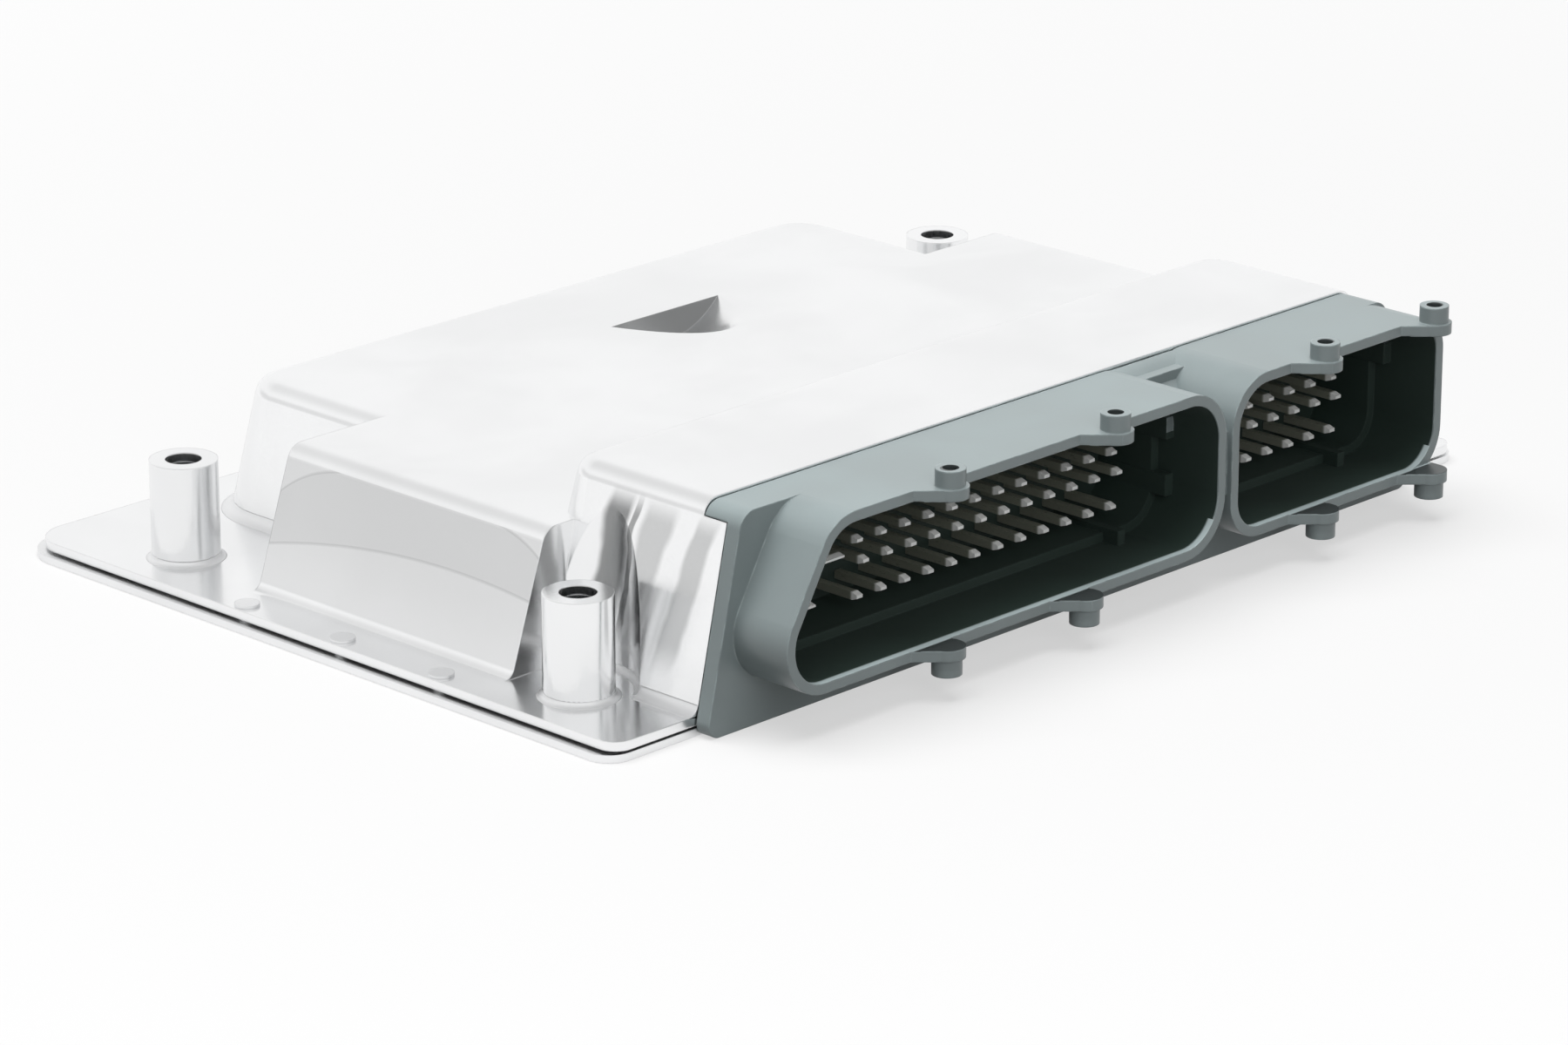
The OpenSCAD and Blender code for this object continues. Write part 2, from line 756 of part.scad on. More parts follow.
module memory_chip() color("darkslategray") place() on_board(memory_at) rotate([0, 0, 90])
    chip(memory_l, memory_w, 2.6, 14, lead_pitch);

module driver_chips() color("darkslategray") place() {
    for (i = [-1:1]) on_board(driver_at + [i * driver_pitch, 0]) rotate([0, 0, 90])
        chip(driver_l, driver_w, 3.2, 10, lead_pitch);
}

// Power packages: a moulded block on a metal tab with three short legs.
module power_package() {
    box(-power_w / 2, power_w / 2, -4.5, 4.5, 0.5, 4.4);
    box(-power_w / 2, power_w / 2, -3, 6.2, 0, 0.5 + eps);
    for (x = [-2.5, 0, 2.5]) {
        box(x - 0.4, x + 0.4, -6.5, -4.5 + eps, 1, 1.5);
        box(x - 0.4, x + 0.4, -7.2, -6.4, 0, 1.5);
    }
}

module ignition_transistors() color("darkslategray") place() {
    for (i = [-1.5:1.5]) on_board(transistor_at + [i * power_pitch, 0]) power_package();
}

module voltage_regulator() color("darkslategray") place() on_board(regulator_at) rotate([0, 0, 90])
    power_package();

module interface_chips() color("darkslategray") place() {
    for (p = interface_at) on_board(p) rotate([0, 0, 90]) chip(10, 4, 1.7, 7, lead_pitch);
}

module crystal() color("silver") place() on_board(crystal_at) {
    box(-3, 3, -2.3, 2.3, 0, 3.5);
    for (x = [-3, 3]) translate([x, 0, 0]) cylinder(h = 3.5, r = 2.3);
}

module buffer_capacitors() color("silver") place() {
    w = capacitor_d / 2 + 0.2;
    for (i = [-0.5, 0.5]) on_board(capacitor_at + [i * (capacitor_d + 3), 0]) {
        box(-w, w, -w, w, 0, 1);
        translate([0, 0, 1 - eps]) cylinder(h = capacitor_h, d = capacitor_d);
    }
}

module inductor() color("dimgray") place() on_board(inductor_at) {
    w = inductor_w / 2;
    box(-w, w, -w, w, 0, 1.2);
    translate([0, 0, 1.2 - eps]) cylinder(h = 4, r = w * 0.57);
    for (z = [1.2 - eps, 5]) translate([0, 0, z]) cylinder(h = 1.2, r = w - 0.4);
}

module filter_capacitors() color("tan") place() {
    for (i = [0:8]) on_board(filter_at + [i * filter_pitch, 0]) box(-1, 1, -1.6, 1.6, 0, 1.3);
}

module suppressor_diode() color("darkslategray") place() on_board(diode_at) {
    box(-3, 3, -3.5, 3.5, 0.2, 2.6);
    for (a = [0, 180]) rotate([0, 0, a]) box(-1.4, 1.4, 3.5 - eps, 4.6, 0, 1.2);
}

// Soft pads that carry heat from the board to the pressed pads of the base.
module thermal_pads() color("lightsteelblue") place() {
    for (e = emboss) translate([0, 0, board_z - chip_pad_h]) linear_extrude(chip_pad_h) pad_outline(e, -2);
}
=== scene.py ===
"""Looks, stage and camera for an engine control unit.

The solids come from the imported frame. This file gives each of them a finish, adds the foot radii
that a drawn lid has where its walls meet the rim and the web behind the valley of the header, and
sets up a white table with two soft lamps and a camera.
All sizes are in metres, in the frame of the solids: +X along the header, sockets towards -Y, +Z up.
"""

import math

import bmesh
import bpy
import numpy as np
from bpy.props import FloatProperty, FloatVectorProperty, PointerProperty
from mathutils import Matrix, Vector


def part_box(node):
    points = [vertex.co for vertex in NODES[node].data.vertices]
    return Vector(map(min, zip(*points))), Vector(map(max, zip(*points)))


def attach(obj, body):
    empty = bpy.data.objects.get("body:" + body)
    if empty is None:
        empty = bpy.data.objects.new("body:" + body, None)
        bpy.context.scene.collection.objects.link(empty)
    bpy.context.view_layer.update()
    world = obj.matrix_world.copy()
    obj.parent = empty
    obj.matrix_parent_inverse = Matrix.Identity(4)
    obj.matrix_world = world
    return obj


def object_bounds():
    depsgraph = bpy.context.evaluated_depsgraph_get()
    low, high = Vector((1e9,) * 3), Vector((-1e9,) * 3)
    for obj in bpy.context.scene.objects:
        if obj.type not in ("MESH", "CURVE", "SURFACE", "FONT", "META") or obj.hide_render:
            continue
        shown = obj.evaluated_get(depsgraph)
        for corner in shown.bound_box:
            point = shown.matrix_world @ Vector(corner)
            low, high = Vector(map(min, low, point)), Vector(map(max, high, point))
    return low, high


bl_info = {
    "name": "Engine Control Unit Dresser",
    "version": (1, 0, 0),
    "blender": (4, 5, 0),
    "location": "View3D > Sidebar > Control Unit",
    "description": "Finishes, foot radii, valley web, light and camera for an engine control unit",
    "category": "Object",
}

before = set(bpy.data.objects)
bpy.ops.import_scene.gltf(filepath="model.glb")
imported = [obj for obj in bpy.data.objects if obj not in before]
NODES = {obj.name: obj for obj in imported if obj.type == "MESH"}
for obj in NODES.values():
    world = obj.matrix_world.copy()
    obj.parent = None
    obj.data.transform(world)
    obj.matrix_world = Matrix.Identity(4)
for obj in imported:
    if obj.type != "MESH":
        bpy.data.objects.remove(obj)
CAD_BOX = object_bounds()
MM = 0.001
WHITE = (1.0, 1.0, 1.0, 1.0)

# New meshes: points closer than WELD are one point, and edges that turn by more than SHARP are sharp.
WELD = 1e-7
SHARP = math.radians(40)
BOTH_SIDES = np.array([[1, 1, 1], [-1, 1, 1]])

# The drawn lid. Depths count from FRONT_Y, the plane of the socket rims.
LID_LOW, LID_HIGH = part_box("lid")
SLEEVE_LOW, SLEEVE_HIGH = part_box("spacer_sleeves")
FRONT_Y = LID_LOW.y - 13.2 * MM
SHEET = 1.4 * MM
SLEEVE_R = 3.7 * MM
RIM_WIDTH = 15.2 * MM
RIM_TOP = LID_LOW.z + SHEET
LID_MID = 24 * MM
DRAFT = math.radians(12.75)
BODY_HALF = LID_HIGH.x - RIM_WIDTH
BODY_END = LID_HIGH.y - RIM_WIDTH / 2
TAIL_IN = 11.3 * MM
CORNER_R = 12 * MM
COLUMN_R = 5.2 * MM
COLUMN_X = SLEEVE_HIGH.x - SLEEVE_R
COLUMN_Y = (SLEEVE_LOW.y + SLEEVE_R, SLEEVE_HIGH.y - SLEEVE_R)
POCKET_R = 12.4 * MM
POCKET_CENTRE = (COLUMN_X + 1.3 * MM, COLUMN_Y[0] + 4 * MM)
PANEL_X = 77 * MM
PANEL_Y = (FRONT_Y + 42.5 * MM, FRONT_Y + 97 * MM)
THUMB_X = 7.7 * MM
THUMB_Y = FRONT_Y + 105 * MM
THUMB_HALF = 13 * MM

# The header: its sockets, the valley between its shrouds, its ledges and the bores of its studs.
SOCKET_Z = 19.3 * MM
SOCKET_SPLIT_X = 21.6 * MM
LARGE_SOCKET_X = -28 * MM
SMALL_SOCKET_X = 47.3 * MM
RIB_DEPTH = 9 * MM
RIB_HALF = 0.6 * MM
FLOOR_DEPTH = 11 * MM
PIN_TIP_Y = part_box("large_pins_upper")[0].y
PLATE_Z = 32.1 * MM
SHROUD_R = 8.1 * MM
VALLEY_FLOOR = 24.3 * MM
VALLEY_HALF = 0.7 * MM
VALLEY_REACH = 8 * MM
VALLEY_BELOW = 1 * MM
WEB_DEPTH = (6 * MM, 17.4 * MM)
WEB_SUNK = 0.15 * MM
WEB_OVERLAP = 0.5 * MM
LEDGE_Z = 10 * MM
SHADE_AHEAD = (FRONT_Y - 0.1 * MM, FRONT_Y - 0.4 * MM)
SMALL_END = 70.7 * MM
STUD_Y = FRONT_Y - 1.9 * MM
STUD_X = (-41.7 * MM, -6.5 * MM, 41.1 * MM, SMALL_END - 3.4 * MM,
          -42.1 * MM, -12.6 * MM, 41.3 * MM, SMALL_END - 3.2 * MM)
STUD_BORE_R = 1.25 * MM

# A face looks some way if that part of its normal is over FACING, and towards a socket's axis if the axis
# lies more than AXIS_AHEAD in front of it.
FACING = 0.5
AXIS_AHEAD = 1 * MM

# Painted reflection on the side panels, a grey field and dark lines: places along a panel go from 0 at
# its rear end to 1 at its front end, and heights from 0 at the rim to 1 at the low top. Tones go from
# 0, bare, to 1, dark.
PANEL_FACING = 0.9
MIDDLE_START, MIDDLE_RISE, MIDDLE_FALL = 0.32, 0.62, 0.43
ARCH_TOP, ARCH_REAR_DROP, ARCH_FRONT_DROP = 0.97, 0.29, 0.17
ARCH_POWER = 8.0
LINE_HALF, LINE_CORE = 0.016, 0.004
FADE_HEIGHT = 0.5
FIELD_TONE, FADE_TONE, LINE_TONE = 0.09, 0.05, 0.12

# Painted reflections in the front corners, as streaks: the depth of each one's middle and its half width in
# millimetres, and its tone. They fade in above STREAK_FOOT and out below STREAK_HEAD.
STREAKS = ((39.5, 2.8, 0.7), (36.0, 0.8, 0.6), (31.5, 3.4, 0.34), (22.5, 2.6, 0.36))
STREAK_CORE = 0.55
STREAK_SLANT = 0.2
STREAK_BEND = 2 * MM
STREAK_DEPTH = (13 * MM, 48 * MM)
STREAK_SIDE = (62 * MM, 77.6 * MM)
STREAK_FOOT = (6 * MM, 12 * MM)
STREAK_HEAD = (31 * MM, 27 * MM)
STREAK_FACING = 0.4

# Painted shade on the rear wall of the half-moon scoop, and the colour of all the lid's painted
# reflections and shade at their darkest.
SCOOP_SHADE_FACING = 0.6
SCOOP_SHADE_HALF = 1 * MM
SCOOP_SHADE_TONE = 0.62
PAINTED_REFLECTION_AND_SHADE_COLOUR = (0.02, 0.025, 0.024, 1.0)

# Depth of the fine grain that the finishes share, and what grain and cloudy marks add to the gloss of metal.
GRAIN_DEPTH = 0.05 * MM
GRAIN_SHARE, MARKS_SHARE = 0.6, 0.4

# The stage: two lamps, and a table that glows as GLOW_FAR, less up to GLOW_LOSS where the lamp lights it.
KEY_PLACE, KEY_SIZE = (-0.15, 0.1, 1.3), 1.2
FILL_PLACE, FILL_SIZE = (-0.35, -0.75, 0.4), 0.5
TABLE_HALF = 6.0
GLOW_FAR, GLOW_LOSS = 0.98, 0.41
LAMP_FALL = 0.59

# What metal mirrors of the room: gaps between the walls that fade in over GAP_FOOT and out over GAP_HEAD
# with the height of a direction, and in over GAP_SIDE with its turn. The ceiling darkens over CEILING_RISE.
GAP_FOOT = (0.02, 0.1)
GAP_HEAD = (0.36, 0.22)
GAP_SIDE = (0.95, 1.3)
CEILING_RISE = (0.45, 0.95)


class HousingLook(bpy.types.PropertyGroup):
    """Finish of the drawn lid and the base plate."""
    metal: FloatVectorProperty(
        name="Aluminium", description="Colour of the bare aluminium",
        default=(0.91, 0.915, 0.92), min=0, max=1, subtype="COLOR")
    lid_roughness: FloatProperty(
        name="Lid Roughness", description="Gloss of the bright drawn lid", default=0.2, min=0.05, max=0.8)
    base_roughness: FloatProperty(
        name="Base Roughness", description="Gloss of the plain base sheet", default=0.38, min=0.05, max=0.8)
    foot_radius: FloatProperty(
        name="Foot Radius", description="Radius of the drawn walls where they meet the rim",
        default=2 * MM, min=1 * MM, max=3 * MM, unit="LENGTH")
    pocket_radius: FloatProperty(
        name="Pocket Radius", description="Foot radius in the corner pockets and round the columns",
        default=0.9 * MM, min=0.4 * MM, max=1.2 * MM, unit="LENGTH")


class HeaderLook(bpy.types.PropertyGroup):
    """Finish of the moulded header and its contacts."""
    plastic: FloatVectorProperty(
        name="Plastic", description="Colour of the moulded header",
        default=(0.175, 0.207, 0.21), min=0, max=1, subtype="COLOR")
    # socket: painted shade, the colour that stands in for the shade deep inside the sockets.
    socket: FloatVectorProperty(
        name="Socket", description="Colour deep inside the sockets",
        default=(0.016, 0.028, 0.023), min=0, max=1, subtype="COLOR")
    roughness: FloatProperty(
        name="Roughness", description="Gloss of the moulded header", default=0.36, min=0.05, max=0.9)
    tin: FloatVectorProperty(
        name="Tin", description="Colour of the plated contacts",
        default=(0.24, 0.25, 0.205), min=0, max=1, subtype="COLOR")
    # The tips' colour is a painted highlight, pale where the contacts' tips catch the light.
    tip_highlight: FloatVectorProperty(
        name="Tip", description="Colour of the contacts' rubbed tips",
        default=(0.96, 0.97, 0.95), min=0, max=1, subtype="COLOR")


class InsideLook(bpy.types.PropertyGroup):
    """Colours of the board and the parts under the lid."""
    solder_mask: FloatVectorProperty(
        name="Solder Mask", description="Colour of the coated board",
        default=(0.012, 0.11, 0.045), min=0, max=1, subtype="COLOR")
    package: FloatVectorProperty(
        name="Package", description="Colour of the moulded chips",
        default=(0.022, 0.022, 0.024), min=0, max=1, subtype="COLOR")


class StageLook(bpy.types.PropertyGroup):
    """Light, table and camera."""
    floor: FloatVectorProperty(
        name="Table", description="Colour of the table",
        default=(0.22, 0.22, 0.22), min=0, max=1, subtype="COLOR")
    sky: FloatProperty(name="Sky", description="Strength of the even light", default=0.15, min=0, max=1)
    key_power: FloatProperty(
        name="Key Light", description="Power of the soft lamp overhead",
        default=33, min=0, max=60, unit="POWER")
    fill_power: FloatProperty(
        name="Fill Light", description="Power of the lamp that shines into the sockets",
        default=2.6, min=0, max=20, unit="POWER")
    gap: FloatProperty(
        name="Wall Gaps", description="Darkness of the gaps between the room's walls, as metal shows them",
        default=0.2, min=0, max=1)
    ceiling: FloatProperty(
        name="Ceiling", description="Darkness of the room overhead, as metal shows it",
        default=0.3, min=0, max=1)
    lens: FloatProperty(name="Lens", description="Focal length in millimetres", default=140, min=20, max=300)
    azimuth: FloatProperty(
        name="Azimuth", description="Turn of the camera from the front", default=math.radians(-45.83),
        subtype="ANGLE", unit="ROTATION")
    elevation: FloatProperty(
        name="Elevation", description="Height of the camera as an angle", default=math.radians(19.05),
        subtype="ANGLE", unit="ROTATION")
    distance: FloatProperty(
        name="Distance", description="From the camera to the point it looks at",
        default=0.945, min=0.2, max=5, unit="LENGTH")
    target: FloatVectorProperty(
        name="Target", description="Point that the camera looks at",
        default=(-0.7 * MM, FRONT_Y + 70.6 * MM, -1.1 * MM), subtype="TRANSLATION", unit="LENGTH")


# Surfaces


def grid_faces(rows, columns):
    """Quads of a rows x columns grid of points, closed along its columns: corner (i, j) has index
    i * columns + j, and each quad joins (i, j), (i + 1, j), (i + 1, j + 1) and (i, j + 1)."""
    i, j = np.meshgrid(np.arange(rows - 1), np.arange(columns), indexing="ij")
    following = (j + 1) % columns
    return np.stack([i * columns + j, (i + 1) * columns + j,
                     (i + 1) * columns + following, i * columns + following], axis=-1).reshape(-1, 4)


def foot_profile(radius, draft, steps=9):
    """Closed section of a concave foot: an arc that touches the rim and a wall leaning by draft,
    closed by one point inside the sheet. Returns its offsets out from the wall and up from the rim."""
    angle = np.linspace(1.5 * math.pi, math.pi + draft, steps)
    reach = radius * (1 / math.cos(draft) - math.tan(draft))
    out = np.append(reach + radius * np.cos(angle), -SHEET / 4)
    up = np.append(radius + radius * np.sin(angle), -SHEET / 4)
    return out, up


def sweep_foot(path, normal, radius, draft):
    """The foot section carried along a path on the rim: point (s, t) is
    path(s) + normal(s) * out(t), raised by up(t) above the rim."""
    out, up = foot_profile(radius, draft)
    plan = path[:, None, :] + normal[:, None, :] * out[None, :, None]
    height = np.broadcast_to(RIM_TOP + up, plan.shape[:2])
    return np.concatenate([plan, height[..., None]], axis=-1)


def arc(centre, radius, start, end, steps):
    """Points and outward directions of a circular arc between two angles."""
    angle = np.linspace(start, end, steps)
    out = np.stack([np.cos(angle), np.sin(angle)], axis=-1)
    return np.array(centre) + radius * out, out


def straight(start, end, normal):
    """Two points of a straight wall and their common outward direction."""
    return np.array([start, end]), np.array([normal, normal], float)


def mesh_of(name, grids):
    """One mesh from several grids of points. Rows that meet are welded, open ends are closed and faces
    are turned outwards, so each grid becomes a closed skin, smooth along its curves."""
    points, faces, first = [], [], 0
    for grid in grids:
        rows, columns = grid.shape[:2]
        points.append(grid.reshape(-1, 3))
        faces.append(grid_faces(rows, columns) + first)
        first += rows * columns
    mesh = bpy.data.meshes.new(name)
    mesh.from_pydata(np.concatenate(points).tolist(), [], np.concatenate(faces).tolist())
    form = bmesh.new()
    form.from_mesh(mesh)
    bmesh.ops.remove_doubles(form, verts=form.verts, dist=WELD)
    bmesh.ops.holes_fill(form, edges=[edge for edge in form.edges if edge.is_boundary])
    bmesh.ops.recalc_face_normals(form, faces=form.faces)
    form.to_mesh(mesh)
    form.free()
    mesh.polygons.foreach_set("use_smooth", np.ones(len(mesh.polygons), bool))
    mesh.set_sharp_from_angle(angle=SHARP)
    mesh.update()
    return mesh


def add_piece(name, mesh, material):
    """A new piece that rides on the unit and takes the given finish."""
    piece = bpy.data.objects.new(name, mesh)
    mesh.materials.append(material)
    bpy.context.scene.collection.objects.link(piece)
    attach(piece, "root")


def dress(material, *names):
    """Gives a finish to solids of the frame."""
    for name in names:
        if name not in NODES:
            raise RuntimeError(f"the frame has no solid named {name}")
        slots = NODES[name].data.materials
        slots.clear()
        slots.append(material)


# Finishes


class Nodes:
    """Short hand for building one node tree."""

    def __init__(self, tree):
        self.tree = tree

    def add(self, kind, settings=None, **inputs):
        """A node with its settings, and its inputs given as values or as sockets of other nodes."""
        node = self.tree.nodes.new(kind)
        for key, value in (settings or {}).items():
            setattr(node, key, value)
        for key, value in inputs.items():
            self.put(node, key.replace("_", " "), value)
        return node

    def put(self, node, key, value):
        """Sets or links one input by its name, or by its number after 'in'."""
        numbered = key[:2] == "in" and key[2:].isdigit()
        socket = node.inputs[int(key[2:]) if numbered else key]
        if isinstance(value, bpy.types.NodeSocket):
            self.tree.links.new(value, socket)
        else:
            socket.default_value = value

    def math(self, operation, a, b=0.0, clamp=False):
        """The result of one operation on two values."""
        settings = {"operation": operation, "use_clamp": clamp}
        return self.add("ShaderNodeMath", settings, in0=a, in1=b).outputs[0]

    def fold(self, operation, values):
        """One operation carried through several values, from the first to the last."""
        result = values[0]
        for value in values[1:]:
            result = self.math(operation, result, value)
        return result

    def total(self, *values):
        """All values added up."""
        return self.fold("ADD", values)

    def product(self, *values):
        """All values multiplied: of masks, what they all keep."""
        return self.fold("MULTIPLY", values)

    def above(self, value, limit):
        """1 where a value is over a limit."""
        return self.math("GREATER_THAN", value, limit)

    def below(self, value, limit):
        """1 where a value is under a limit."""
        return self.math("LESS_THAN", value, limit)

    def within(self, value, low, high):
        """1 where a value is between two limits."""
        return self.product(self.above(value, low), self.below(value, high))

    def size(self, value):
        """A value without its sign."""
        return self.math("ABSOLUTE", value)

    def apart(self, value, centre):
        """How far a value is from a centre, to either side."""
        return self.size(self.math("SUBTRACT", value, centre))

    def smooth(self, value, low, high):
        """0 at low and before it, 1 at high and beyond, with a smooth change between."""
        node = self.add("ShaderNodeMapRange", {"interpolation_type": "SMOOTHSTEP"}, Value=value)
        self.put(node, "From Min", low)
        self.put(node, "From Max", high)
        return node.outputs["Result"]

    def between(self, value, low, high):
        """A 0 to 1 value spread over low to high."""
        node = self.add("ShaderNodeMapRange", Value=value)
        self.put(node, "To Min", low)
        self.put(node, "To Max", high)
        return node.outputs["Result"]

    def blend(self, factor, a, b):
        """Colour a, or b where factor is 1."""
        node = self.add("ShaderNodeMix", {"data_type": "RGBA"})
        self.put(node, "in0", factor)
        self.put(node, "in6", a)
        self.put(node, "in7", b)
        return node.outputs[2]

    def noise(self, place, **inputs):
        """Cloudy noise from 0 to 1."""
        return self.add("ShaderNodeTexNoise", Vector=place, **inputs).outputs["Fac"]

    def place(self):
        """Object coordinates of the surface."""
        return self.add("ShaderNodeTexCoord").outputs["Object"]

    def face(self):
        """The way that a face looks, before any smoothing."""
        return self.add("ShaderNodeNewGeometry").outputs["True Normal"]

    def split(self, vector):
        """The X, Y and Z of a vector."""
        return self.add("ShaderNodeSeparateXYZ", Vector=vector).outputs


def rgba(colour):
    """A colour property as a socket value."""
    return (*colour, 1.0)


def tint(colour, times, plus=0.0):
    """A lighter or darker colour of the same kind, as a socket value."""
    return rgba(min(1.0, times * part + plus) for part in colour)


def new_group(name, inputs, outputs):
    """An empty shader node group, its nodes, its inputs and its output node. An input whose default is
    a tuple is a vector, and every other socket is a number."""
    tree = bpy.data.node_groups.new(name, "ShaderNodeTree")
    for socket, default in inputs.items():
        kind = "NodeSocketVector" if isinstance(default, tuple) else "NodeSocketFloat"
        tree.interface.new_socket(socket, in_out="INPUT", socket_type=kind).default_value = default
    for socket in outputs:
        tree.interface.new_socket(socket, in_out="OUTPUT", socket_type="NodeSocketFloat")
    nodes = Nodes(tree)
    return nodes, nodes.add("NodeGroupInput").outputs, nodes.add("NodeGroupOutput")


def grain_group():
    """Fine grain stretched by Stretch, and broad cloudy marks, both from 0 to 1."""
    inputs = {"Scale": 900.0, "Stretch": (1.0, 1.0, 1.0), "Marks Scale": 60.0}
    n, given, result = new_group("surface_grain", inputs, ["Grain", "Marks"])
    place = n.place()
    stretched = n.add("ShaderNodeVectorMath", {"operation": "MULTIPLY"}, in0=place, in1=given["Stretch"])
    marks = n.noise(place, Scale=given["Marks Scale"], Detail=5.0, Distortion=0.4)
    n.put(result, "Grain", n.noise(stretched.outputs[0], Scale=given["Scale"], Detail=4.0))
    n.put(result, "Marks", n.smooth(marks, low=0.3, high=0.7))


def wear_group():
    """Worn edges: 1 where a normal rounded over Radius turns away from the face, broken by noise."""
    n, given, result = new_group("edge_wear", {"Radius": 0.5 * MM, "Amount": 1.0}, ["Wear"])
    rounded = n.add("ShaderNodeBevel", {"samples": 4}, Radius=given["Radius"]).outputs["Normal"]
    turned = n.add("ShaderNodeVectorMath", {"operation": "DOT_PRODUCT"}, in0=rounded, in1=n.face())
    edge = n.smooth(n.math("SUBTRACT", 1.0, turned.outputs["Value"]), low=0.02, high=0.2)
    broken = n.smooth(n.noise(n.place(), Scale=420.0, Detail=3.0), low=0.35, high=0.65)
    n.put(result, "Wear", n.math("MULTIPLY", n.product(edge, broken), given["Amount"], clamp=True))


def socket_group():
    """Painted shade inside the sockets: 1 where a face looks towards its socket's axis, is a floor deep in
    it or the front of a guide rib, and 0 in the valley between the shrouds.
    The axis is the nearer of two lines along Y. The change sets in right behind the rim, and a little
    further in on the walls that look up, which keep a lip as wide as Mouth; the second output is a
    painted highlight on that lip."""
    n, given, result = new_group("socket_depth", {"Mouth": 1.3 * MM}, ["Inside", "Lip"])
    place, normal = n.split(n.place()), n.split(n.face())
    axis_x = n.between(n.above(place["X"], SOCKET_SPLIT_X), LARGE_SOCKET_X, SMALL_SOCKET_X)
    along_x = n.product(normal["X"], n.math("SUBTRACT", axis_x, place["X"]))
    along_z = n.product(normal["Z"], n.math("SUBTRACT", SOCKET_Z, place["Z"]))
    inward = n.above(n.total(along_x, along_z), AXIS_AHEAD)
    depth = n.math("SUBTRACT", place["Y"], FRONT_Y)
    ribs = n.below(n.apart(depth, RIB_DEPTH), RIB_HALF)
    floors = n.math("MAXIMUM", ribs, n.above(depth, FLOOR_DEPTH))
    valley = n.product(n.below(n.apart(place["X"], SOCKET_SPLIT_X), VALLEY_REACH),
                       n.above(place["Z"], VALLEY_FLOOR - VALLEY_BELOW))
    floors = n.product(floors, n.below(normal["Y"], -FACING), n.math("SUBTRACT", 1.0, valley))
    looks_up = n.above(normal["Z"], FACING)
    lip = n.product(given["Mouth"], n.between(looks_up, low=0.25, high=1.0))
    deep = n.smooth(n.math("DIVIDE", depth, lip), low=0.6, high=1.0)
    n.put(result, "Inside", n.product(n.math("MAXIMUM", inward, floors), deep))
    n.put(result, "Lip", n.product(inward, looks_up, n.below(depth, given["Mouth"])))


class Finish:
    """One procedural material: a Principled shader whose inputs are set or linked by name."""

    def __init__(self, name, **inputs):
        self.material = bpy.data.materials.new(name)
        self.material.use_nodes = True
        self.nodes = Nodes(self.material.node_tree)
        self.shader = self.material.node_tree.nodes["Principled BSDF"]
        for key, value in inputs.items():
            self.put(key.replace("_", " "), value)

    def put(self, key, value):
        """Sets or links one input of the shader."""
        self.nodes.put(self.shader, key, value)

    def group(self, name, **inputs):
        """Places a group that the first operator built and returns its outputs."""
        tree = bpy.data.node_groups.get(name)
        if tree is None:
            raise RuntimeError(f"build the shared groups first: {name} is missing")
        return self.nodes.add("ShaderNodeGroup", {"node_tree": tree}, **inputs).outputs

    def bump(self, height, strength, distance, radius=0.0):
        """Links a bump to the shader's normal, on edges rounded over radius where one is given."""
        node = self.nodes.add("ShaderNodeBump", Height=height, Strength=strength, Distance=distance)
        if radius:
            edges = self.nodes.add("ShaderNodeBevel", {"samples": 6}, Radius=radius)
            self.nodes.put(node, "Normal", edges.outputs["Normal"])
        self.put("Normal", node.outputs["Normal"])


def panel_painted_reflection(n, place, normal):
    """Painted reflection on the side panels: a grey field between two lines, which fades towards the rim.
    The middle line is a parabola along the panel, and the upper one an arch whose ends drop as a high power."""
    along = n.math("DIVIDE", n.math("SUBTRACT", PANEL_Y[1], place["Y"]), PANEL_Y[1] - PANEL_Y[0])
    up = n.math("DIVIDE", n.math("SUBTRACT", place["Z"], RIM_TOP), LID_MID - RIM_TOP)
    panel = n.product(n.above(n.size(normal["X"]), PANEL_FACING), n.within(along, 0.0, 1.0),
                      n.above(n.size(place["X"]), PANEL_X))
    slope = n.math("SUBTRACT", MIDDLE_RISE, n.product(along, MIDDLE_FALL))
    middle = n.total(MIDDLE_START, n.product(along, slope))
    to_rear = n.math("SUBTRACT", 1.0, along, clamp=True)
    to_front = n.math("MAXIMUM", along, 0.0)
    drop = n.total(n.product(n.math("POWER", to_rear, ARCH_POWER), ARCH_REAR_DROP),
                   n.product(n.math("POWER", to_front, ARCH_POWER), ARCH_FRONT_DROP))
    above_middle = n.math("SUBTRACT", up, middle)
    below_arch = n.math("SUBTRACT", n.math("SUBTRACT", ARCH_TOP, drop), up)
    field = n.product(n.smooth(above_middle, -LINE_CORE, LINE_CORE),
                      n.smooth(below_arch, -LINE_CORE, LINE_CORE))
    lines = n.math("MAXIMUM", n.smooth(n.size(above_middle), LINE_HALF, LINE_CORE),
                   n.smooth(n.size(below_arch), LINE_HALF, LINE_CORE))
    fade = n.smooth(up, 0.0, FADE_HEIGHT)
    tone = n.total(n.product(field, FIELD_TONE), n.product(fade, FADE_TONE), n.product(lines, LINE_TONE))
    return n.product(panel, tone)


